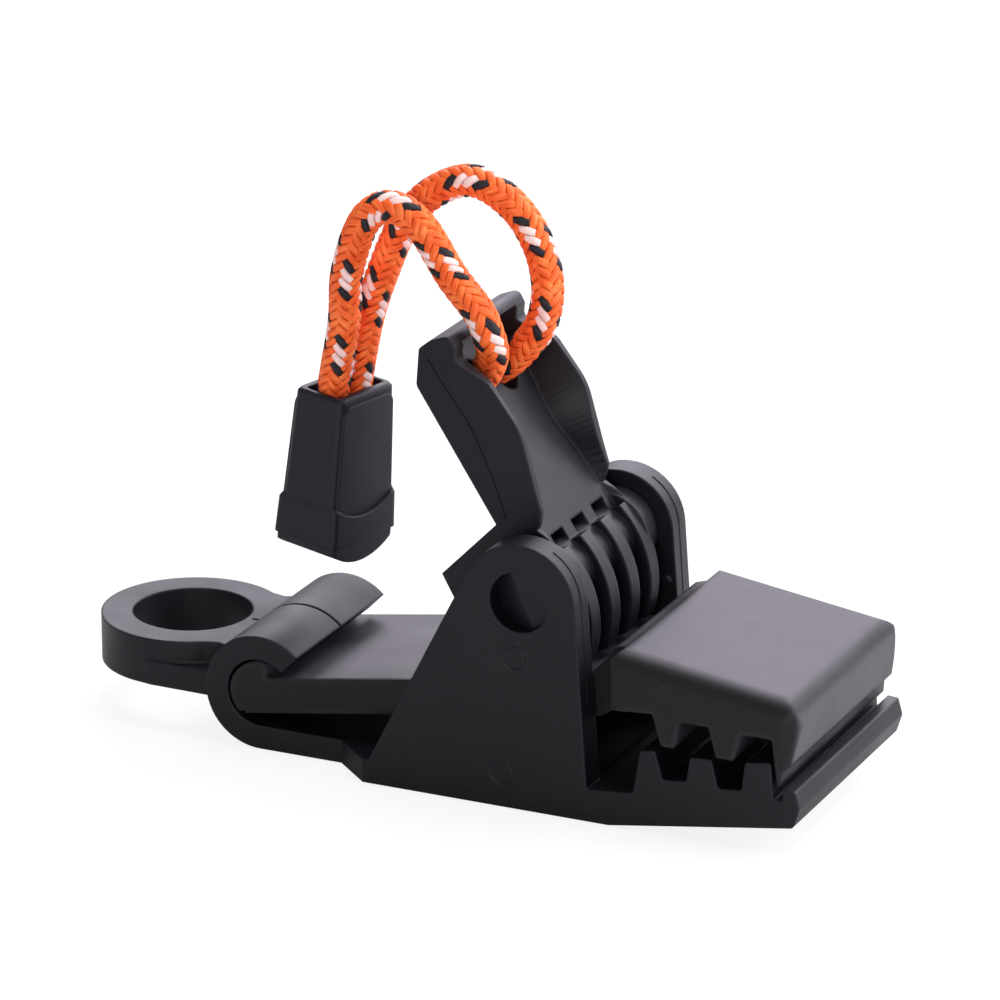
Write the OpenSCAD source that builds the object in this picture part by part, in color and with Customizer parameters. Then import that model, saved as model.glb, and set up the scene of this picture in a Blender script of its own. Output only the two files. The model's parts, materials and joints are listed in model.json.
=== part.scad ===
// Tarp clip: a toothed clamp closed by a thumb cam lever, with a tie eye and a cord pull.
// X runs from the tie eye to the mouth, Y across the jaws, Z up from the flat underside.
// Everything is drawn with the lever up and the mouth open; lengths are millimetres.

/* [Overall] */
// length from the back of the tie eye to the front lip
clip_length = 102.2; // [94:0.2:118]
// width over the ears and the jaws
jaw_width = 34.3; // [30:0.1:42]
// width of the hook and of the tail that turns in it
tail_width = 25.2; // [20:0.1:28]
// gap kept between the tail and each ear
tail_gap = 0.5; // [0.3:0.05:1]

/* [Base frame] */
// height of the lever pivot above the underside
pivot_height = 27; // [24:0.1:32]
// distance of the pivot behind the front lip
pivot_setback = 37; // [34:0.1:42]
// thickness of each ear
ear_thickness = 4; // [3:0.1:5]
// radius of the rounded ear top
ear_radius = 7.4; // [6.5:0.1:9]
// length of the ear foot behind the pivot
ear_foot = 21.2; // [18:0.1:26]
// rise of the underside from its bend to the lip
jaw_rise = 3.75; // [2:0.05:5]

/* [Hook and eye] */
// outer radius of the hook that holds the tail
hook_radius = 7.5; // [6.5:0.1:9]
// inner radius of the hook
hook_bore = 4.45; // [4:0.05:5.5]
// angle at which the lip of the hook ends
hook_lip_angle = 46; // [35:1:60]
// distance of the hook axis ahead of the centre of the tie eye
eye_reach = 15.8; // [15:0.1:18]
// radius of the tie eye hole
eye_bore = 7.7; // [6:0.1:8.5]
// width of the eye ring
eye_wall = 4; // [3:0.05:4.5]
// thickness of the eye ring
eye_thickness = 6.1; // [4:0.1:7]
// height of the top of the eye ring
eye_top = 11.9; // [10:0.1:13]

/* [Upper jaw] */
// depth of the underside of the tail plate below the hook axis
tail_drop = 2.66; // [2:0.02:3.4]
// gap between the tail plate and the drum above it
cam_gap = 0.39; // [0.3:0.01:0.8]
// gap between the drum and the bridge behind the jaw block
bridge_gap = 1; // [0.6:0.05:1.4]
// thickness of the tail plate
tail_thickness = 4.5; // [3.5:0.1:5]
// gap between the bead of the tail and the hook
bead_gap = 0.4; // [0.3:0.05:0.6]
// radius along the top edges of the jaw block
block_round = 2.8; // [2:0.1:5]

/* [Cam lever] */
// width of the lever over its ribs
lever_width = 20.6; // [18:0.1:24]
// distance from the pivot to the tip
lever_length = 32.9; // [28:0.1:38]
// angle of the raised lever above the tie eye side
lever_raised = 60.7; // [50:0.1:80]
// distance of the cam flat from the pivot
cam_reach = 12; // [11.5:0.05:12.1]
// radius of the ribbed drum
drum_radius = 11.2; // [10:0.1:11.3]
// radius of the core between the ribs
core_radius = 4.2; // [4:0.1:5]
// width of one rib
rib_width = 2.5; // [2:0.1:4]
// radius of the pivot stubs
stub_radius = 3.8; // [3:0.05:4.5]
// running clearance of a stub in its ear
stub_clearance = 0.08; // [0.05:0.01:0.1]
// depth of a stub end below the face of its ear
stub_inset = 1.05; // [0.6:0.05:2]
// gap between a lever hub and its ear
hub_gap = 0.4; // [0.3:0.05:0.8]
// radius of the hubs beside the ribs
hub_radius = 5.5; // [4.6:0.1:6]

/* [Cord pull] */
// diameter of the cord
cord_diameter = 4.2; // [3.6:0.1:4.4]
// distance of the cord holes from the pivot along the lever
cord_hole_reach = 25.2; // [23:0.1:27]
// distance between the centres of the two cord holes
cord_hole_spacing = 7; // [6.6:0.1:8]
// length of the cord end shell
shell_length = 19.3; // [16:0.1:22]
// width of the shell at its mouth
shell_width = 10.9; // [10.6:0.1:13]
// thickness of the shell at its mouth
shell_depth = 7.4; // [6.8:0.1:9]
// depth to which the cord reaches into the shell
cord_depth = 9; // [7:0.1:11]

/* [Hidden] */
$fn = 72;
lip_x = clip_length / 2;
pivot_x = lip_x - pivot_setback;
eye_x = -lip_x + eye_bore + eye_wall;
hook_x = eye_x + eye_reach;
floor_thickness = hook_radius - hook_bore;
ear_gap = jaw_width - 2 * ear_thickness;
hub_end = ear_gap / 2 - hub_gap;
rib_slot = (lever_width - 4 * rib_width) / 3;
bead_radius = hook_bore - bead_gap;
// slope that lays the tail plate from the hook axis to the underside of the drum
tail_run = [pivot_x - hook_x, pivot_height - hook_radius];
tail_slope = acos((drum_radius + cam_gap + tail_thickness - tail_drop) / norm(tail_run))
    - atan2(tail_run[0], tail_run[1]);
// place and lean of the cord end below the arch of the cord
pull_spot = [pivot_x - 32.4, 1.8, pivot_height + 17.6];
pull_lean = 5;
pull_turn = -12;
strand_offset = cord_diameter / 2 + 0.25;
// route of each strand in the open, measured from the pivot
strand_a = [[-30.9, -1.4, 27], [-30, -2.2, 34], [-27.2, -2.8, 41], [-23.5, -3, 43.2],
            [-19.4, -3.2, 41.2], [-15, -4, 35.8], [-10.9, -5.4, 32.4], [-9.5, -5.6, 29.9],
            [-9.5, -4.1, 26.2]];
strand_b = [[-9.2, 3.4, 24.6], [-6.2, 3.2, 28.7], [-5.3, 3, 34], [-6.8, 3, 39.4], [-10.4, 3, 43.8],
            [-15.5, 3, 45.9], [-20.9, 3, 43.6], [-24.8, 3.1, 39.2], [-28, 3.3, 32], [-30.1, 3.6, 26]];

function unit(v) = v / norm(v);

// outline whose corners, given as [x, z, radius], are rounded
function rounded(pts, n = 4) = [
    for (i = [0 : len(pts) - 1])
        let (p = [pts[i][0], pts[i][1]],
             a = unit([for (k = [0, 1]) pts[(i + len(pts) - 1) % len(pts)][k] - p[k]]),
             b = unit([for (k = [0, 1]) pts[(i + 1) % len(pts)][k] - p[k]]),
             half = acos(a * b) / 2,
             r = pts[i][2],
             c = p + unit(a + b) * r / sin(half),
             s = p + a * r / tan(half) - c,
             e = p + b * r / tan(half) - c)
        each r == 0 ? [p] : [for (k = [0 : n]) c + r * unit((1 - k / n) * s + k / n * e)]
];

// point where the line from p touches the circle of radius r about c, on the given side
function touch(c, r, p, side) =
    let (d = p - c, a = atan2(d[1], d[0]) + side * acos(r / norm(d)))
    c + r * [cos(a), sin(a)];

// side profile spread across the clip
module across(width) {
    rotate([90, 0, 0])
        linear_extrude(width, center = true) children();
}

module rod(r, width) {
    rotate([90, 0, 0])
        cylinder(r = r, h = width, center = true);
}

// Base frame: lower jaw, ears, floor, hook and tie eye in one moulding.

module ear_profile() {
    pivot = [pivot_x, pivot_height];
    heel = [pivot_x - ear_foot, 1.5];
    toe = [pivot_x + 9.1, 4];
    translate(pivot)
        circle(ear_radius);
    polygon([pivot, touch(pivot, ear_radius, heel, -1), heel, [heel[0], 0], [toe[0], 0], toe,
             touch(pivot, ear_radius, toe, 1)]);
}

module lower_jaw_profile() {
    x = pivot_x;
    polygon(rounded([
        [x - ear_foot, 0, 0], [x + 12, 0, 0], [lip_x - 0.8, jaw_rise, 0.5], [lip_x, 6.3, 0.6],
        [lip_x - 0.6, 8.4, 0.3], [lip_x - 2.1, 8.5, 0.2], [lip_x - 2.2, 7, 0], [lip_x - 3.4, 7, 0],
        [lip_x - 3.8, 11.7, 0.4], [lip_x - 7.1, 11.2, 0.3], [lip_x - 7.5, 7.5, 0.4],
        [lip_x - 10.6, 7.2, 0.4], [lip_x - 11.5, 10.8, 0.3], [lip_x - 14.3, 10.6, 0.3],
        [lip_x - 14.7, 7.4, 0.4], [lip_x - 17.9, 7.1, 0.4], [lip_x - 18.9, 10.7, 0.3],
        [lip_x - 20.8, 10.4, 0.3], [lip_x - 21.7, 4.7, 0.5], [x + 9, 4.1, 0.3],
        [x + 7, floor_thickness, 0.4], [x - ear_foot, floor_thickness, 0]]));
}

// floor: narrow under the tail, flared out to the ears
module floor_plate() {
    x = pivot_x - ear_foot;
    flare = (jaw_width - tail_width) / 2;
    half = tail_width / 2;
    wide = jaw_width / 2;
    linear_extrude(floor_thickness)
        polygon([[hook_x, -half], [x - flare - 0.6, -half], [x, -wide], [x + 6, -wide], [x + 6, wide],
                 [x, wide], [x - flare - 0.6, half], [hook_x, half]]);
}

module hook_profile() {
    difference() {
        circle(hook_radius);
        circle(hook_bore);
        polygon([[0, 0], 20 * [cos(hook_lip_angle), sin(hook_lip_angle)], [20, -hook_bore],
                 [0, -hook_bore]]);
    }
}

module tie_eye() {
    translate([eye_x, 0, eye_top - eye_thickness])
        difference() {
            union() {
                cylinder(r = eye_bore + eye_wall, h = eye_thickness);
                eye_neck(eye_thickness, [[1, -11], [5, -10], [8.5, -9.2], [11.5, -10.4]]);
                eye_neck(3.2, [[-3, -11.3], [0, -11.9], [11.5, -12.2]]);
            }
            translate([0, 0, -1])
                cylinder(r = eye_bore, h = eye_thickness + 2);
        }
}

// web from the side of the ring to the hook, from one edge of its plan
module eye_neck(height, edge) {
    last = len(edge) - 1;
    linear_extrude(height)
        polygon(concat(edge, [for (i = [last : -1 : 0]) [edge[i][0], -edge[i][1]]]));
}

module base_frame() {
    color("#26262a")
    difference() {
        union() {
            across(jaw_width) lower_jaw_profile();
            floor_plate();
            for (s = [-1, 1])
                translate([0, s * (jaw_width - ear_thickness) / 2, 0])
                    across(ear_thickness) ear_profile();
            difference() {
                union() {
                    translate([hook_x, 0, hook_radius])
                        across(tail_width) hook_profile();
                    tie_eye();
                }
                translate([hook_x, 0, hook_radius])
                    rod(hook_bore, tail_width + 1);
            }
        }
        translate([pivot_x, 0, pivot_height])
            rod(stub_radius + stub_clearance, jaw_width + 2);
        // seam round the hook
        translate([hook_x, 0, hook_radius])
            difference() {
                rod(hook_radius + 1, 0.4);
                rod(hook_radius - 0.35, 1);
                translate([-20, -1, -20])
                    cube([40, 2, 20]);
            }
        // ejector marks on the ear
        for (p = [[-0.5, 19.8], [-2.2, 4.6]])
            translate([pivot_x + p[0], -jaw_width / 2, p[1]])
                difference() {
                    rod(1.6, 0.24);
                    rod(1.35, 1);
                }
    }
}

// Upper jaw: toothed block, bridge between the ears and tail plate with its bead.

module block_profile() {
    polygon(rounded([
        [lip_x - 25.6, 15, 0.8], [lip_x - 19.3, 15.5, 0.4], [lip_x - 18.1, 11.5, 0.3],
        [lip_x - 16.3, 11.5, 0.3], [lip_x - 15.7, 15, 0.4], [lip_x - 11.9, 15, 0.4],
        [lip_x - 10.9, 11.2, 0.3], [lip_x - 8.6, 11.2, 0.3], [lip_x - 7.7, 14.75, 0.4],
        [lip_x - 3.7, 14.75, 0.4], [lip_x - 2.9, 8.9, 0.15], [lip_x - 2.6, 8.9, 0.12],
        [lip_x - 2.5, 10.4, 0.2], [lip_x - 1.35, 11.7, 0.3], [lip_x - 0.5, 16.4, 0.3],
        [lip_x - 0.95, block_top(-0.95), 3.2], [lip_x - 25.2, block_top(-25.2), 2]], 8));
}

// height of the sloping top of the jaw block, x from the lip
block_slope = 8.2;
function block_top(x) = 20.9 - (x + 13) * tan(block_slope);

// jaw block with its top edges and front corners rounded
module jaw_block() {
    half = jaw_width / 2;
    intersection() {
        across(jaw_width) block_profile();
        // top edges rounded along the slope of the top
        translate([lip_x - 13, 0, block_top(-13) - 0.01])
            rotate([0, block_slope, 0])
                rotate([90, 0, 90])
                    linear_extrude(80, center = true)
                        polygon(rounded([[-half, -18, 0], [half, -18, 0],
                                         [half, 0, block_round], [-half, 0, block_round]], 8));
        linear_extrude(40)
            polygon(rounded([[lip_x - 25.9, -half, 2.2], [lip_x - 0.45, -half, 2.4],
                             [lip_x - 0.45, half, 2.4], [lip_x - 25.9, half, 2.2]], 7));
    }
}

// line of the plate, measured from the hook axis: height of its underside at distance d
function plate_low(d) = -tail_drop / cos(tail_slope) + d * tan(tail_slope);
function plate_high(d) = plate_low(d) + tail_thickness / cos(tail_slope);

module tail_profile() {
    bridge = pivot_x + 11 - hook_x;
    // plate
    polygon([[-2, plate_low(-2)], [bridge - 2, plate_low(bridge - 2)], [bridge + 3, 7.9],
             [bridge + 3, 11.5], [bridge - 1.5, plate_high(bridge - 1.5)], [-2, plate_high(-2)]]);
    // bridge up to the jaw block, hollowed round the drum
    difference() {
        polygon([[bridge - 6.5, plate_low(bridge - 6.5) + 1], [bridge + 3.4, 9], [bridge + 3.4, 14.7],
                 [bridge + 1.4, 14.3], [bridge - 1, 13.6], [bridge - 6.5, 13.6]]);
        translate(tail_run)
            circle(drum_radius + bridge_gap);
        polygon([[-20, plate_high(-20)], [bridge - 4.2, plate_high(bridge - 4.2)],
                 [bridge - 4.2, 30], [-20, 30]]);
    }
    // bead with a square shoulder towards the plate
    intersection() {
        circle(bead_radius);
        polygon([[-8, plate_low(-8) + 0.3], [1, plate_low(1) + 0.3], [1, 8], [-8, 8]]);
    }
}

module upper_jaw() {
    color("#2b2b30") {
        jaw_block();
        difference() {
            translate([hook_x, 0, hook_radius])
                across(tail_width) tail_profile();
            // room for the ears
            for (s = [-1, 1])
                translate([pivot_x + (9.1 - ear_foot) / 2, s * (ear_gap / 2 - tail_gap + 10), 20])
                    cube([ear_foot + 9.1 + 2 * tail_gap, 20, 60], center = true);
        }
    }
}

// Cam lever, drawn folded flat with its tip towards the tie eye, then raised.

module raised() {
    translate([pivot_x, 0, pivot_height])
        rotate([0, lever_raised, 0]) children();
}

// drum with the flat that presses on the tail plate
module drum_profile() {
    intersection() {
        union() {
            circle(drum_radius);
            polygon([[-9.1, -1.7], [-6.1, -cam_reach], [0.6, -cam_reach],
                     drum_radius * [sin(24), -cos(24)], [0, 0]]);
        }
        translate([1.2, -8.35])
            circle(13.5);
        polygon([[-6.1, -cam_reach], [20, -cam_reach], [20, 10], [-7.5, 10], [-8, 0], [-9.1, -1.7]]);
    }
}

// plate and wings of the lever, with the bar across its tip
module blade_profile() {
    tip = -lever_length;
    polygon(rounded([
        [-5, -1.7, 0], [tip + 4.3, -3.25, 1.2], [tip + 0.3, -0.6, 0.8], [tip, 1.2, 0.6],
        [tip + 0.4, 3.9, 0.9], [tip + 2.2, 3.9, 0.6], [tip + 3.5, 3, 0.8], [tip + 4.7, 3.8, 1],
        [tip + 7.7, 5.9, 2.5], [-18.5, 6.9, 9], [-11, 5.1, 3], [-8.2, 4.5, 1],
        [-6.9, 3.5, 0.4], [-6.2, 2.6, 0], [-5, 2, 0]], 6));
}

// thumb scoop: reach, half width and height of its floor, half width high above it, from the
// pocket at the tip to the drum
scoop = [[lever_length - 1.8, 6.6, 0.3, 9.6], [23.6, 8.5, 1, 9.8], [17, 7.5, 1.7, 10.2],
         [11, 8.5, 2.3, 10], [3, 9.6, 2.9, 13.6]];
scoop_line = [
    for (i = [0 : len(scoop) - 2], t = [0 : 0.125 : 0.9])
        between(scoop[max(i - 1, 0)], scoop[i], scoop[i + 1], scoop[min(i + 2, len(scoop) - 1)], t),
    scoop[len(scoop) - 1]
];

module thumb_scoop() {
    last = len(scoop_line) - 1;
    points = [for (q = scoop_line)
        each [[-q[0], -q[1], q[2]], [-q[0], q[1], q[2]], [-q[0], q[3], 9], [-q[0], -q[3], 9]]];
    walls = [for (i = [0 : last - 1], k = [0 : 3])
        let (a = 4 * i + k, b = 4 * i + (k + 1) % 4)
        each [[a, a + 4, b + 4], [a, b + 4, b]]];
    polyhedron(points, concat([[0, 1, 2, 3], [for (k = [3 : -1 : 0]) 4 * last + k]], walls));
}

module cord_hole() {
    slot = 0.7;
    for (s = [-1, 1])
        translate([-cord_hole_reach + s * slot, 0, -6])
            cylinder(d = cord_diameter + 0.7, h = 12);
    translate([-cord_hole_reach - slot, -cord_diameter / 2 - 0.35, -6])
        cube([2 * slot, cord_diameter + 0.7, 12]);
}

module rib_slots() {
    for (i = [-1 : 1])
        translate([0, i * (rib_width + rib_slot), 0])
            across(rib_slot)
                difference() {
                    polygon([[-4.9, -1], [0, -4.5], [30, -4.5], [30, 12], [-4.9, 12]]);
                    circle(core_radius);
                }
}

module stub() {
    reach = jaw_width / 2 - stub_inset;
    difference() {
        rod(stub_radius, 2 * reach);
        // ramp across the rear half of each end
        for (s = [-1, 1])
            translate([0, s * reach, 0])
                rotate([0, -85, 0])
                    rotate([0, 0, s * 22])
                        translate([-12, s > 0 ? 0 : -6, -6])
                            cube([12, 6, 12]);
    }
}

module cam_lever() {
    color("#232327")
    raised() {
        difference() {
            union() {
                across(lever_width) drum_profile();
                across(lever_width) blade_profile();
            }
            thumb_scoop();
            rib_slots();
            for (s = [-1, 1])
                translate([0, s * cord_hole_spacing / 2, 0]) cord_hole();
        }
        rod(core_radius, lever_width);
        for (s = [-1, 1])
            translate([0, s * (hub_end + lever_width / 2 - 0.8) / 2, 0])
                rod(hub_radius, hub_end - lever_width / 2 + 0.8);
        stub();
    }
}

// Cord pull: a loop of cord through the lever with its ends held in a plugged shell.

module at_pull() {
    translate(pull_spot)
        rotate([0, pull_lean, 0])
            rotate([0, 0, pull_turn]) children();
}

// point of the cord end in the frame of the clip
function in_pull(p) =
    let (c = cos(pull_turn), s = sin(pull_turn), k = cos(pull_lean), t = sin(pull_lean),
         q = [c * p[0] - s * p[1], s * p[0] + c * p[1], p[2]])
    pull_spot + [k * q[0] + t * q[2], q[1], -t * q[0] + k * q[2]];

// point of the lever: reach from the pivot, side and height above its mid plane
function in_lever(reach, side, high) =
    [pivot_x - reach * cos(lever_raised) + high * sin(lever_raised), side,
     pivot_height + reach * sin(lever_raised) + high * cos(lever_raised)];

function from_pivot(p) = p + [pivot_x, 0, pivot_height];

cord_half = cord_hole_spacing / 2;
// turn behind the lever: side and height of its points, from the front of a hole to the middle
bight = [[cord_half, 0.8], [cord_half, -2.4], [cord_half - 0.6, -4.4], [cord_half - 2.3, -5.4]];
cord_route = concat(
    [in_pull([0, -strand_offset, -cord_depth]), in_pull([0, -strand_offset, -4]),
     in_pull([0, -strand_offset, 0.4])],
    [for (p = strand_a) from_pivot(p)],
    [for (p = bight) in_lever(cord_hole_reach, -p[0], p[1])],
    [for (i = [len(bight) - 1 : -1 : 0]) in_lever(cord_hole_reach, bight[i][0], bight[i][1])],
    [for (p = strand_b) from_pivot(p)],
    [in_pull([0, strand_offset, 0.4]), in_pull([0, strand_offset, -4]),
     in_pull([0, strand_offset, -cord_depth])]);

// smooth line through the route, two steps to each of its points
function between(a, b, c, d, t) =
    0.5 * (2 * b + (c - a) * t + (2 * a - 5 * b + 4 * c - d) * t * t
           + (3 * b - a - 3 * c + d) * t * t * t);
cord_line = [
    for (i = [0 : len(cord_route) - 2], t = [0, 0.5])
        let (a = cord_route[max(i - 1, 0)], b = cord_route[i], c = cord_route[i + 1],
             d = cord_route[min(i + 2, len(cord_route) - 1)])
        between(a, b, c, d, t),
    cord_route[len(cord_route) - 1]
];

function along(line) = [
    for (i = [0 : len(line) - 1])
        unit(line[min(i + 1, len(line) - 1)] - line[max(i - 1, 0)])
];
function level(n, t) = unit(n - t * (n * t));
function sides(ts, i = 0, found = []) =
    i == len(ts) ? found
    : sides(ts, i + 1, concat(found, [level(i == 0 ? [1, 0.2, 0] : found[i - 1], ts[i])]));

module tube(line, r, n) {
    ts = along(line);
    ns = sides(ts);
    last = len(line) - 1;
    points = [for (i = [0 : last], k = [0 : n - 1])
        line[i] + r * (cos(360 * k / n) * ns[i] + sin(360 * k / n) * cross(ts[i], ns[i]))];
    walls = [for (i = [0 : last - 1], k = [0 : n - 1])
        [i * n + k, (i + 1) * n + k, (i + 1) * n + (k + 1) % n, i * n + (k + 1) % n]];
    ends = [[for (k = [0 : n - 1]) k], [for (k = [n - 1 : -1 : 0]) last * n + k]];
    polyhedron(points, concat(walls, ends));
}

module pull_cord() {
    color("#f26a1b")
        tube(cord_line, cord_diameter / 2, 12);
}

// outline of the cord end at one level
module end_outline(depth, width, r) {
    polygon(rounded([[-depth / 2, -width / 2, r], [depth / 2, -width / 2, r],
                     [depth / 2, width / 2, r], [-depth / 2, width / 2, r]], 4));
}

module end_level(z, depth, width, r) {
    translate([0, 0, z])
        linear_extrude(0.02)
            end_outline(depth, width, r);
}

module pull_shell() {
    l = shell_length;
    d = shell_depth;
    w = shell_width;
    color("#28282c")
    at_pull()
        difference() {
            union() {
                hull() {
                    end_level(-0.02, d - 0.6, w - 0.6, 0.8);
                    end_level(-0.4, d, w, 0.9);
                    end_level(-l, d + 1.1, w + 1.9, 0.9);
                }
                // pads at the foot of the wide faces, their upper edge dipped
                difference() {
                    hull() {
                        end_level(-l + 5.4, d + 0.9, w + 1.3, 0.6);
                        end_level(-l + 4.6, d + 2, w + 1.6, 0.7);
                        end_level(-l, d + 2.3, w + 2, 0.7);
                    }
                    translate([0, 0, -l + 12.4])
                        rotate([0, 90, 0])
                            cylinder(r = 9.2, h = 30, center = true);
                }
            }
            // mouth for the two strands
            translate([0, 0, -cord_depth - 1])
                linear_extrude(cord_depth + 2)
                    end_outline(d - 2.2, 2 * strand_offset + cord_diameter + 0.3, 0.5);
            // chamber for the plug
            translate([0, 0, -l - 1])
                linear_extrude(l + 1 - cord_depth)
                    end_outline(d - 2, w - 1.4, 0.8);
        }
}

module pull_plug() {
    l = shell_length;
    color("#1f1f23")
    at_pull() {
        translate([0, 0, -l])
            linear_extrude(l - cord_depth)
                end_outline(shell_depth - 2.3, shell_width - 1.7, 0.7);
        // arched foot below the shell
        intersection() {
            translate([0, 0, -l - 4])
                linear_extrude(4)
                    end_outline(shell_depth + 1.7, shell_width + 1.6, 0.7);
            translate([0, 0, -l + 7])
                rotate([0, 90, 0])
                    cylinder(r = 10, h = 30, center = true, $fn = 120);
        }
    }
}

base_frame();
upper_jaw();
cam_lever();
pull_cord();
pull_shell();
pull_plug();
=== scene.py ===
# %% [markdown]
# # A tarp clip with a cord pull
# The clip is a toothed clamp of black nylon that a thumb lever closes. A loop of orange braided cord
# runs through the lever and ends in a small black fitting.

# %% Load the measured solids
import bpy, bmesh, json, math
from mathutils import Matrix, Vector

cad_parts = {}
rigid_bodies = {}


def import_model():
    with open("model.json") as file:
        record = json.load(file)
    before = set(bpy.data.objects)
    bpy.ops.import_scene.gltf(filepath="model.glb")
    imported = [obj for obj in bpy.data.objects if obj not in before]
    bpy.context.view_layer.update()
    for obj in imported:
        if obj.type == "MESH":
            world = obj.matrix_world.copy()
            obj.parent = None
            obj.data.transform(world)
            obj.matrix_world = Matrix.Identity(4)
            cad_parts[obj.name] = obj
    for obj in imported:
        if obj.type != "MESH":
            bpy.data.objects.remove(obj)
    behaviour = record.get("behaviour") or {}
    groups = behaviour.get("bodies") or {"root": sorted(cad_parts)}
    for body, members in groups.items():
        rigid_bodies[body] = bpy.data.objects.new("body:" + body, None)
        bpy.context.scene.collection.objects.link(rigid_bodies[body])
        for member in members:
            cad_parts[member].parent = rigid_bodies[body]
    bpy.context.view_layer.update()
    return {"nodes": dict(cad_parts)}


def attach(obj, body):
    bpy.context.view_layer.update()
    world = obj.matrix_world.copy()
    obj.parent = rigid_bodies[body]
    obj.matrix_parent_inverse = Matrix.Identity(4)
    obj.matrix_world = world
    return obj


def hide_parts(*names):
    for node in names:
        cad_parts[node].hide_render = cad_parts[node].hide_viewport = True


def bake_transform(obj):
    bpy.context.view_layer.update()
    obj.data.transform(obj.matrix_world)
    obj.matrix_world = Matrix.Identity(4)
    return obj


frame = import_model()
nodes = frame["nodes"]

# %% [markdown]
# ## Camera
# The photograph was taken with a long lens from in front and a little above, so lines that run the
# same way stay almost parallel. A lens of 219 mm at 0.75 m gives that, aimed at the middle of the
# picture, with no lens shift.

# %% Camera
camera = bpy.data.objects.new("camera", bpy.data.cameras.new("camera"))
bpy.context.scene.collection.objects.link(camera)
camera.data.sensor_width = 36
camera.data.lens = 219.2
camera.data.clip_start = 0.01
camera.location = (0.29982, -0.64498, 0.28688)
aim = Vector((0.00377, 0, 0.03314)) - camera.location
camera.rotation_euler = aim.to_track_quat("-Z", "Y").to_euler()
bpy.context.scene.camera = camera
bpy.context.scene.view_settings.view_transform = "Standard"
print("camera", [round(c, 3) for c in camera.location])

# %% [markdown]
# ## Route of the cord
# Each strand leaves the fitting side by side with the other, rises in an arch and drops into a hole
# near the tip of the lever. Behind the lever the two are one turn of the same cord. The points are
# the ones that the solid cord follows, and a smooth line through them is cut into equal steps.

# %% Cord route
MM = 0.001
PIVOT = Vector((14.1, 0, 27))
RAISED = math.radians(60.7)
CORD_DIAMETER = 4.2
PULL_SPOT, PULL_LEAN, PULL_TURN = PIVOT + Vector((-32.4, 1.8, 17.6)), math.radians(5), math.radians(-12)


def in_pull(side, down, ahead=0):
    x = math.cos(PULL_TURN) * ahead - math.sin(PULL_TURN) * side
    y = math.sin(PULL_TURN) * ahead + math.cos(PULL_TURN) * side
    k, t = math.cos(PULL_LEAN), math.sin(PULL_LEAN)
    return PULL_SPOT + Vector((k * x + t * down, y, -t * x + k * down))


def in_lever(reach, side, high):
    c, s = math.cos(RAISED), math.sin(RAISED)
    return PIVOT + Vector((-reach * c + high * s, side, reach * s + high * c))


near_strand = [(-30.9, -1.4, 27), (-30, -2.2, 34), (-27.2, -2.8, 41), (-23.5, -3, 43.2),
               (-19.4, -3.2, 41.2), (-15, -4, 35.8), (-10.9, -5.4, 32.4), (-9.5, -5.6, 29.9),
               (-9.5, -4.1, 26.2)]
far_strand = [(-9.2, 3.4, 24.6), (-6.2, 3.2, 28.7), (-5.3, 3, 34), (-6.8, 3, 39.4), (-10.4, 3, 43.8),
              (-15.5, 3, 45.9), (-20.9, 3, 43.6), (-24.8, 3.1, 39.2), (-28, 3.3, 32), (-30.1, 3.6, 26)]
turn = [(3.5, 0.8), (3.5, -2.4), (2.9, -4.4), (1.2, -5.4)]
route = [in_pull(-2.35, d) for d in (-9, -4, 0.4)]
route += [PIVOT + Vector(p) for p in near_strand]
route += [in_lever(25.2, -side, high) for side, high in turn]
route += [in_lever(25.2, side, high) for side, high in reversed(turn)]
route += [PIVOT + Vector(p) for p in far_strand]
route += [in_pull(2.35, d) for d in (0.4, -4, -9)]


def smooth_line(points, step):
    """Points at equal steps along a smooth line through the given ones."""
    fine = []
    for i in range(len(points) - 1):
        a, b = points[max(i - 1, 0)], points[i]
        c, d = points[i + 1], points[min(i + 2, len(points) - 1)]
        for k in range(20):
            t = k / 20
            fine.append(0.5 * (2 * b + (c - a) * t + (2 * a - 5 * b + 4 * c - d) * t * t
                               + (3 * b - a - 3 * c + d) * t ** 3))
    fine.append(points[-1])
    run = [0.0]
    for a, b in zip(fine, fine[1:]):
        run.append(run[-1] + (b - a).length)
    count, line, j = round(run[-1] / step), [], 0
    for i in range(count + 1):
        s = run[-1] * i / count
        while j < len(run) - 2 and run[j + 1] < s:
            j += 1
        line.append(fine[j].lerp(fine[j + 1], (s - run[j]) / (run[j + 1] - run[j])))
    return line, run[-1]


centre, cord_length = smooth_line(route, 0.2)
print("cord", round(cord_length, 1), "mm on", len(centre), "points")

# %% [markdown]
# ## Braid
# The cord is a braid of 16 yarns. Eight turn one way and eight the other, and each passes over two
# and under two. One set carries the tracers: black, two white, black and four orange. The yarns are
# modelled, because the tracers show as separate picks and the edge of the cord is not smooth. Each
# yarn is a grid of faces bent to a flat tube, whose distance from the middle of the cord rises where
# it passes over and falls where it passes under. A plain tube inside closes the gaps between them.

# %% Frames along the cord


def frames_along(line, side):
    """Two directions square to the line at each of its points, carried along without twist."""
    last = len(line) - 1
    tangents = [(line[min(i + 1, last)] - line[max(i - 1, 0)]).normalized() for i in range(last + 1)]
    sides = []
    for t in tangents:
        side = (side - t * side.dot(t)).normalized()
        sides.append(side)
    return sides, [t.cross(n) for t, n in zip(tangents, sides)]


sides, across = frames_along(centre, Vector((1, 0.2, 0)))


def on_cord(s, turned, radius):
    """Point at arc length s, turned about the middle line, in millimetres."""
    x = min(max(s / cord_length, 0), 1) * (len(centre) - 1)
    i = min(int(x), len(centre) - 2)
    f = x - i
    p, n, b = (q[i].lerp(q[i + 1], f) for q in (centre, sides, across))
    return p + radius * (math.cos(turned) * n + math.sin(turned) * b)


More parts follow.
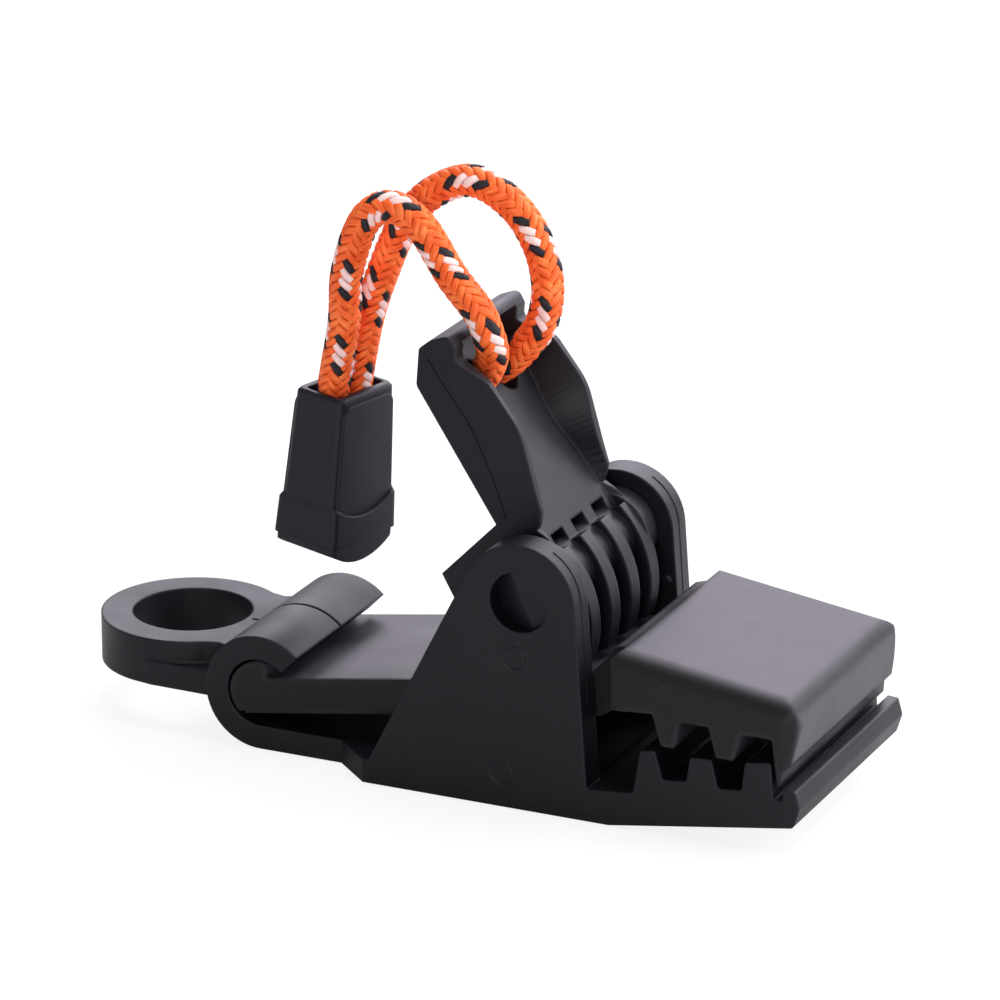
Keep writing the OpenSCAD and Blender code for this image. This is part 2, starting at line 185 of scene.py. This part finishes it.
# %% Yarns
LAY = 10.5
YARNS = 8
YARN_WIDE, YARN_THICK = 0.50, 0.18
OUTER = CORD_DIAMETER / 2 - YARN_THICK
DIP = 0.12
helix = math.atan(2 * math.pi * OUTER / LAY)
ORANGE, BLACK, WHITE = 0, 1, 2
tracers = (BLACK, WHITE, WHITE, BLACK, ORANGE, ORANGE, ORANGE, ORANGE)
carriers = [(-1, i, tracers[i]) for i in range(YARNS)] + [(1, i, ORANGE) for i in range(YARNS)]
RING_STEP = 0.28
RINGS = round(cord_length / RING_STEP)
CORE_RADIUS = OUTER - 0.3

cord_mesh = bmesh.new()


def swept_tube(target, columns, rings, place, material=0):
    """A grid closed round to a tube by place(turn, run), both from 0 to 1."""
    uv = target.loops.layers.uv.get("along") or target.loops.layers.uv.new("along")
    made = bmesh.ops.create_grid(target, x_segments=columns, y_segments=rings, size=0.5)["verts"]
    spot = {v: (v.co.x + 0.5, v.co.y + 0.5) for v in made}
    for face in {f for v in made for f in v.link_faces}:
        face.material_index = material
        face.smooth = True
        for loop in face.loops:
            loop[uv].uv = (spot[loop.vert][0] * 5, spot[loop.vert][1] * cord_length)
    for v, (u, r) in spot.items():
        v.co = place(u, r) * MM
    bmesh.ops.remove_doubles(target, verts=made, dist=1e-7)


def finished(name, target):
    """Closes open ends, turns the faces outward and makes the object."""
    bmesh.ops.holes_fill(target, edges=[e for e in target.edges if e.is_boundary], sides=0)
    bmesh.ops.recalc_face_normals(target, faces=target.faces)
    mesh = bpy.data.meshes.new(name)
    target.to_mesh(mesh)
    target.free()
    made = bpy.data.objects.new(name, mesh)
    bpy.context.scene.collection.objects.link(made)
    return made


for way, number, colour in carriers:
    def yarn(u, r, way=way, number=number):
        s = r * cord_length
        crossing = 2 * YARNS * s / LAY
        over = ((2 * number - crossing) - 0.5) if way < 0 else ((crossing + 2 * number) - 2.5)
        lift = max(-1, min(1, 1.5 * math.cos(math.pi * over / 2)))
        wide, thick = YARN_WIDE * math.cos(2 * math.pi * u), YARN_THICK * math.sin(2 * math.pi * u)
        radius = OUTER - DIP * (1 - lift) + thick
        turned = 2 * math.pi * (number / YARNS + way * s / LAY) + wide * math.cos(helix) / OUTER
        return on_cord(s - way * wide * math.sin(helix), turned, radius)
    swept_tube(cord_mesh, 6, RINGS, yarn, colour)
swept_tube(cord_mesh, 12, RINGS,
           lambda u, r: on_cord(r * cord_length, 2 * math.pi * u, CORE_RADIUS), ORANGE)
cord = finished("braided_cord", cord_mesh)
print("braid", len(cord.data.polygons), "faces")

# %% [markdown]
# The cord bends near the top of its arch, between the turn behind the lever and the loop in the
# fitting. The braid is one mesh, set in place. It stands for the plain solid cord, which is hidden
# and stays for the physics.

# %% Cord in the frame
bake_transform(cord)
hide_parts("pull_cord")

# %% [markdown]
# ## Colours and nodes
# Colours are written as they look on a screen, in hex, and one function turns them to the linear
# values that the renderer works with. One more function adds a node, sets it and links it.

# %% Colour and node helpers


def hexa(code):
    parts = [int(code[i:i + 2], 16) / 255 for i in (1, 3, 5)]
    return tuple(c / 12.92 if c <= 0.04045 else ((c + 0.055) / 1.055) ** 2.4 for c in parts) + (1,)


def add(tree, kind, settings, sockets):
    """A node with its settings; a socket takes a value or the output that feeds it."""
    made = tree.nodes.new(kind)
    for name, value in settings.items():
        setattr(made, name, value)
    for name, value in sockets.items():
        if isinstance(value, bpy.types.NodeSocket):
            tree.links.new(value, made.inputs[name])
        else:
            made.inputs[name].default_value = value
    return made.outputs


def new_material(name):
    material = bpy.data.materials.new(name)
    material.use_nodes = True
    return material, material.node_tree, material.node_tree.nodes["Principled BSDF"]


# %% [markdown]
# ## Polyester yarn
# Braided polyester is a bundle of fine bright filaments that run along the yarn. They catch the light
# across their length, so a pick shows faint lines along it and a soft sheen. That sheen is painted
# into the colour: paler and deeper tones of the yarn run along lines of noise, over random patches
# of tone, and the same lines are pressed in as a fine bump. Filaments are about 0.02 mm, too fine to
# show, so the lines here are ten times as coarse.

# %% Yarn materials


def polyester_yarn(name, shade, deep, bright):
    material, tree, bsdf = new_material(name)
    place = add(tree, "ShaderNodeTexCoord", {}, {})
    lines = add(tree, "ShaderNodeMapping", {}, {"Vector": place["UV"], "Scale": (5, 0.5, 1)})
    filament_sheen_and_relief = add(tree, "ShaderNodeTexNoise", {}, {"Vector": lines["Vector"], "Scale": 1.0, "Detail": 3.0})
    patch = add(tree, "ShaderNodeTexNoise", {},
                {"Vector": place["Object"], "Scale": 420.0, "Detail": 2.0})
    mixed = add(tree, "ShaderNodeMath", {"operation": "MULTIPLY_ADD"},
                {0: filament_sheen_and_relief["Fac"], 1: 0.6, 2: add(tree, "ShaderNodeMath", {"operation": "MULTIPLY"},
                                                 {0: patch["Fac"], 1: 0.4})[0]})
    # Painted sheen and painted shade: the deep and bright tones of the yarn follow the filament lines, with
    # random patches of tone mixed in.
    ramp = tree.nodes.new("ShaderNodeValToRGB")
    for spot, code in ((0.36, deep), (0.52, shade), (0.68, bright)):
        stop = ramp.color_ramp.elements.new(spot)
        stop.color = hexa(code)
    ramp.color_ramp.elements.remove(ramp.color_ramp.elements[0])
    ramp.color_ramp.elements.remove(ramp.color_ramp.elements[-1])
    tree.links.new(mixed[0], ramp.inputs["Fac"])
    tree.links.new(ramp.outputs["Color"], bsdf.inputs["Base Color"])
    relief = add(tree, "ShaderNodeBump", {},
                 {"Height": filament_sheen_and_relief["Fac"], "Strength": 0.35, "Distance": 0.0001})
    tree.links.new(relief["Normal"], bsdf.inputs["Normal"])
    bsdf.inputs["Roughness"].default_value = 0.6
    bsdf.inputs["IOR"].default_value = 1.5
    bsdf.inputs["Specular IOR Level"].default_value = 0.3
    return material


for finish in (polyester_yarn("orange polyester yarn", "#f6682a", "#de4a14", "#ff9450"),
               polyester_yarn("black polyester tracer", "#1d1b22", "#141318", "#302e37"),
               polyester_yarn("white polyester tracer", "#f8d6d2", "#eebab4", "#ffeeea")):
    cord.data.materials.append(finish)
print("cord materials", [m.name for m in cord.data.materials])

# %% [markdown]
# ## Moulded nylon
# The clip is black nylon with some glass fibre, moulded in a satin tool. It has a soft broad gloss,
# a fine pebble of about 0.15 mm from the tool and pale specks where it has been handled. Its edges
# are rounded by the mould, which a bevel in the shader shows, and a painted highlight makes them a
# little paler. The upper and front faces of the jaw are painted paler all over as painted light, in
# patches of about 10 mm.

# %% Nylon materials


def moulded_nylon(name, shade, speck_and_painted_light_tone, gloss, specks, painted_upper_light=0.0, rounded=0.0005):
    material, tree, bsdf = new_material(name)
    place = add(tree, "ShaderNodeTexCoord", {}, {})["Object"]
    cloud = add(tree, "ShaderNodeTexNoise", {}, {"Vector": place, "Scale": 90.0, "Detail": 4.0})
    pebble = add(tree, "ShaderNodeTexNoise", {}, {"Vector": place, "Scale": 4200.0, "Detail": 2.0})
    speck = add(tree, "ShaderNodeTexNoise", {},
                {"Vector": place, "Scale": 1900.0, "Detail": 3.0, "Roughness": 0.7})
    pale = add(tree, "ShaderNodeMapRange", {},
               {"Value": speck["Fac"], "From Min": 0.62, "From Max": 0.76, "To Min": 0.0, "To Max": specks})
    edge = add(tree, "ShaderNodeBevel", {"samples": 6}, {"Radius": rounded})
    flat = add(tree, "ShaderNodeNewGeometry", {}, {})["Normal"]
    bent = add(tree, "ShaderNodeVectorMath", {"operation": "DOT_PRODUCT"}, {0: edge["Normal"], 1: flat})
    # Painted highlight: edges turn paler where the bevelled normal leaves the flat one.
    painted_edge_highlight = add(tree, "ShaderNodeMapRange", {},
               {"Value": bent["Value"], "From Min": 0.995, "From Max": 0.85, "To Min": 0.0, "To Max": 0.35})
    # Painted light: faces whose normal points up or forward are painted paler, in patches, by the given
    # amount.
    faces = add(tree, "ShaderNodeSeparateXYZ", {}, {"Vector": edge["Normal"]})
    outer = add(tree, "ShaderNodeMath", {"operation": "MAXIMUM"}, {0: faces["X"], 1: faces["Z"]})
    upper = add(tree, "ShaderNodeMapRange", {"interpolation_type": "SMOOTHSTEP"},
                {"Value": outer[0], "From Min": 0.8, "From Max": 0.96, "To Min": 0.0, "To Max": painted_upper_light})
    both = add(tree, "ShaderNodeMath", {"operation": "MAXIMUM"}, {0: painted_edge_highlight["Result"], 1: upper["Result"]})
    patchy = add(tree, "ShaderNodeMapRange", {},
                 {"Value": cloud["Fac"], "From Min": 0.38, "From Max": 0.58, "To Min": 0.45, "To Max": 1.0})
    spots = add(tree, "ShaderNodeMath", {"operation": "MULTIPLY"}, {0: both[0], 1: patchy["Result"]})
    paler = add(tree, "ShaderNodeMath", {"operation": "MAXIMUM"}, {0: pale["Result"], 1: spots[0]})
    tint = add(tree, "ShaderNodeMix", {"data_type": "RGBA"},
               {"Factor": paler[0], 6: hexa(shade), 7: hexa(speck_and_painted_light_tone)})
    tree.links.new(tint[2], bsdf.inputs["Base Color"])
    rough = add(tree, "ShaderNodeMapRange", {},
                {"Value": cloud["Fac"], "From Min": 0.3, "From Max": 0.7,
                 "To Min": gloss - 0.05, "To Max": gloss + 0.06})
    tree.links.new(rough["Result"], bsdf.inputs["Roughness"])
    relief = add(tree, "ShaderNodeBump", {},
                 {"Height": pebble["Fac"], "Strength": 0.18, "Distance": 0.00004, "Normal": edge["Normal"]})
    tree.links.new(relief["Normal"], bsdf.inputs["Normal"])
    bsdf.inputs["IOR"].default_value = 1.53
    bsdf.inputs["Specular IOR Level"].default_value = 0.24
    return material


finishes = {
    "base_frame": moulded_nylon("black moulded nylon, frame", "#0b0b13", "#3a3740", 0.5, 0.15),
    # The jaw's upper and front faces are painted paler, standing in for the light they catch.
    "upper_jaw": moulded_nylon("black moulded nylon, jaw with painted light on top", "#0c0c10", "#4a474f", 0.52, 0.25,
                               painted_upper_light=0.8, rounded=0.0014),
    "cam_lever": moulded_nylon("black moulded nylon, lever", "#0c0c16", "#3a3740", 0.48, 0.1),
    # The cord end and plug have a paler base than the rest of the nylon: painted light, standing in for the
    # light they catch from the right.
    "pull_shell": moulded_nylon("black moulded nylon, cord end", "#17171f", "#3a3740", 0.5, 0.1),
    "pull_plug": moulded_nylon("black moulded nylon, plug", "#1e1e26", "#3a3740", 0.52, 0.1),
}
for name, finish in finishes.items():
    nodes[name].data.materials.clear()
    nodes[name].data.materials.append(finish)
print("nylon on", sorted(finishes))

# %% [markdown]
# ## Marks of the mould
# A mould leaves a fine line where its halves meet: along the outer sides of the lever's wings and
# along the middle of each ear's rim. The cord end has a panel that stands a little proud on each wide
# face, with round upper corners, and the far ear has a small round boss inside.

# %% Parting lines


def fitted(made, body, finish):
    made.data.materials.append(finish)
    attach(made, body)


line_finish = moulded_nylon("black moulded nylon, parting line", "#070709", "#16151a", 0.6, 0.0)
LINE_RADIUS = 0.11


def parting_line(name, points, body):
    line, _ = smooth_line(points, 0.4)
    n, b = frames_along(line, Vector((0.2, 1, 0.1)))
    last = len(line) - 1
    target = bmesh.new()

    def place(u, r):
        i, a = round(r * last), 2 * math.pi * u
        return line[i] + LINE_RADIUS * (math.cos(a) * n[i] + math.sin(a) * b[i])
    swept_tube(target, 8, last, place)
    fitted(finished(name, target), body, line_finish)


wing_line = [(31, -0.2), (27.8, 0.1), (21.8, 0.9), (16.7, 0.7), (11.5, 0.1), (9.3, -0.4)]
WING_SIDE = 10.3
EAR_RADIUS, EAR_MIDDLE = 7.4, 15.15
rim_arc = [math.radians(a) for a in range(60, 0, -10)]
rim = [(PIVOT.x + EAR_RADIUS * math.cos(a), PIVOT.z + EAR_RADIUS * math.sin(a)) for a in rim_arc]
rim += [(21.53, 26.4), (22.4, 14.6)]
for side, word in ((-1, "near"), (1, "far")):
    parting_line(word + "_wing_parting_line",
                 [in_lever(reach, side * WING_SIDE, high) for reach, high in wing_line],
                 "lever")
    parting_line(word + "_ear_parting_line", [Vector((x, side * EAR_MIDDLE, z)) for x, z in rim],
                 "base")

# %% Panels of the cord end and boss of the ear
SHELL_LONG, SHELL_DEEP, SHELL_WIDE = 19.3, 7.4, 10.9
PANEL_TOP, PANEL_FOOT, PANEL_PROUD, PANEL_CORNER = -1.0, -16.4, 0.22, 1.4
PANEL_SUNK = 0.3
BOSS_SPOT = Vector((20.8, 13.15, 20.7))


def panel_edge(sign, down):
    """Half width of a panel at one level."""
    return sign * (SHELL_WIDE / 2 - 0.55 + 0.95 * -down / SHELL_LONG)


for ahead, word in ((-1, "rear"), (1, "front")):
    outline = [(panel_edge(-1, PANEL_FOOT), PANEL_FOOT), (panel_edge(1, PANEL_FOOT), PANEL_FOOT)]
    for sign, turns in ((1, range(0, 91, 15)), (-1, range(90, 181, 15))):
        for a in turns:
            z = PANEL_TOP - PANEL_CORNER * (1 - math.sin(math.radians(a)))
            outline.append((panel_edge(sign, z) + PANEL_CORNER * (math.cos(math.radians(a)) - sign), z))
    target = bmesh.new()
    foot = []
    for y, z in outline:
        deep = SHELL_DEEP / 2 + 0.55 * -z / SHELL_LONG - PANEL_SUNK
        foot.append(target.verts.new(in_pull(y, z, ahead * deep) * MM))
    floor_face = target.faces.new(foot)
    raised = bmesh.ops.extrude_face_region(target, geom=[floor_face])["geom"]
    top = [v for v in raised if isinstance(v, bmesh.types.BMVert)]
    lift = in_pull(0, 0, ahead * (PANEL_SUNK + PANEL_PROUD)) - in_pull(0, 0)
    bmesh.ops.translate(target, verts=top, vec=lift * MM)
    brim = [e for e in target.edges if all(v in top for v in e.verts)]
    bmesh.ops.bevel(target, geom=brim, offset=0.12 * MM, segments=2, profile=0.5,
                    affect="EDGES", material=-1)
    fitted(finished(word + "_panel", target), "pull", finishes["pull_shell"])

target = bmesh.new()
bmesh.ops.create_cone(target, cap_ends=True, segments=32, radius1=0.8 * MM, radius2=0.7 * MM,
                      depth=0.8 * MM)
upright = Matrix.Rotation(math.radians(90), 3, "X")
bmesh.ops.rotate(target, verts=target.verts, cent=(0, 0, 0), matrix=upright)
bmesh.ops.translate(target, verts=target.verts, vec=BOSS_SPOT * MM)
brim = [e for e in target.edges if all(v.co.y < BOSS_SPOT.y * MM for v in e.verts)]
bmesh.ops.bevel(target, geom=brim, offset=0.15 * MM, segments=3, profile=0.5, affect="EDGES", material=-1)
fitted(finished("ear_boss", target), "base", finishes["base_frame"])
marks = [o.name for o in bpy.data.objects if o.name.endswith(("_line", "_panel", "_boss"))]
print("marks of the mould", marks)

# %% [markdown]
# ## Floor and light
# The clip stands on white paper under a large soft box, with others in front, at the left and at the
# right. A wide box behind it is what the upper faces mirror at a low angle, which is how black plastic
# shows its form. The paper is shown nearly white to the camera and keeps a faint shadow.

# %% Floor
sheet = bmesh.new()
bmesh.ops.create_grid(sheet, x_segments=1, y_segments=1, size=2.0)
paper_mesh = bpy.data.meshes.new("paper")
sheet.to_mesh(paper_mesh)
sheet.free()
paper = bpy.data.objects.new("paper", paper_mesh)
bpy.context.scene.collection.objects.link(paper)
paper.location.z = -0.0002
white, tree, bsdf = new_material("white paper")
bsdf.inputs["Base Color"].default_value = hexa("#d8d8d8")
bsdf.inputs["Roughness"].default_value = 0.9
glow = add(tree, "ShaderNodeEmission", {}, {"Color": (1, 1, 1, 1), "Strength": 1.12})
path = add(tree, "ShaderNodeLightPath", {}, {})
seen = add(tree, "ShaderNodeMath", {"operation": "MULTIPLY"}, {0: path["Is Camera Ray"], 1: 0.76})
both = add(tree, "ShaderNodeMixShader", {}, {0: seen[0], 1: bsdf.outputs["BSDF"], 2: glow["Emission"]})
tree.links.new(both[0], tree.nodes["Material Output"].inputs["Surface"])
paper.data.materials.append(white)

# %% Light
world = bpy.data.worlds.new("studio")
world.use_nodes = True
bpy.context.scene.world = world
tree = world.node_tree
path = add(tree, "ShaderNodeLightPath", {}, {})
shown = add(tree, "ShaderNodeMath", {"operation": "MAXIMUM"},
            {0: path["Is Camera Ray"], 1: path["Is Transmission Ray"]})
level = add(tree, "ShaderNodeMapRange", {}, {"Value": shown[0], "To Min": 0.15, "To Max": 1.0})
tree.links.new(level["Result"], tree.nodes["Background"].inputs["Strength"])
tree.nodes["Background"].inputs["Color"].default_value = (1, 1, 1, 1)


def soft_box(name, place, aim, wide, tall, power):
    lamp = bpy.data.lights.new(name, "AREA")
    lamp.shape, lamp.size, lamp.size_y, lamp.energy = "RECTANGLE", wide, tall, power
    made = bpy.data.objects.new(name, lamp)
    bpy.context.scene.collection.objects.link(made)
    made.location = place
    made.rotation_euler = (Vector(aim) - Vector(place)).to_track_quat("-Z", "Y").to_euler()
    return made


soft_box("overhead box", (0.1, 0.1, 0.6), (0, 0.05, 0.02), 0.5, 0.4, 3.0)
soft_box("front box", (0.25, -0.85, 0.22), (0, 0, 0.05), 0.4, 0.3, 3.2)
soft_box("left box", (-0.6, -0.3, 0.3), (0, 0, 0.03), 0.4, 0.4, 0.4)
soft_box("right box", (0.6, 0.25, 0.3), (0.1, 0.15, 0), 0.4, 0.4, 4.2)
rear = soft_box("rear box", (0, 0.7, 0.42), (0, 0, 0.02), 1.3, 0.45, 11.0)
rear.data.color = (0.94, 0.88, 1.0)
